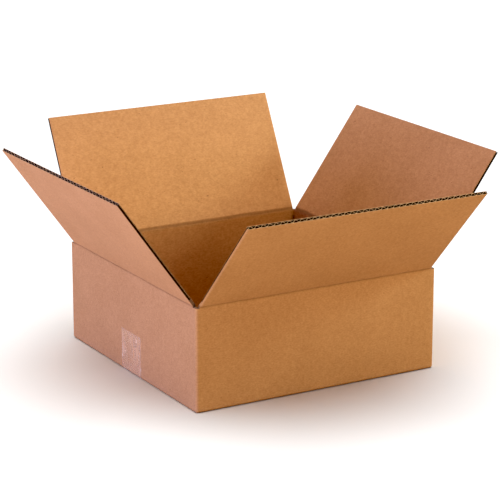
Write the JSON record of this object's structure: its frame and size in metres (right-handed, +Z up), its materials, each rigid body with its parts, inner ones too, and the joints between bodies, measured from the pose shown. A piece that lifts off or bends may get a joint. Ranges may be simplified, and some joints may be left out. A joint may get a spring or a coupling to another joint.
{
  "type": "open corrugated cardboard box",
  "caption": "Square, shallow corrugated cardboard shipping box standing open, with its top flaps folded outwards on their creases and its base closed with clear tape.",
  "frame": {"origin": "under the middle of the base, on the underside of the tape that lies on the floor", "axes": "+Z up out of the open top, -Y out of the front wall, -X out of the left wall"},
  "size_m": [0.4906, 0.4847, 0.2582],
  "materials": {
    "board": "uncoated brown kraft liner, matte",
    "tape": "clear film with a slight gloss"
  },
  "bodies": {
    "box": {"box_shell": "board", "bottom_tape": "tape"},
    "front_flap": {"front_flap": "board"},
    "back_flap": {"back_flap": "board"},
    "left_flap": {"left_flap": "board"},
    "right_flap": {"right_flap": "board"}
  },
  "joints": [
    {"name": "front_flap_crease", "type": "hinge", "parent": "box", "child": "front_flap", "pos_m": [0, -0.156, 0.12356], "axis": [1, 0, 0], "range_deg": [-133, 92]},
    {"name": "back_flap_crease", "type": "hinge", "parent": "box", "child": "back_flap", "pos_m": [0, 0.156, 0.12396], "axis": [-1, 0, 0], "range_deg": [-117, 108]},
    {"name": "left_flap_crease", "type": "hinge", "parent": "box", "child": "left_flap", "pos_m": [-0.156, 0, 0.121], "axis": [0, -1, 0], "range_deg": [-126, 99]},
    {"name": "right_flap_crease", "type": "hinge", "parent": "box", "child": "right_flap", "pos_m": [0.156, 0, 0.121], "axis": [0, 1, 0], "range_deg": [-126, 99]}
  ]
}
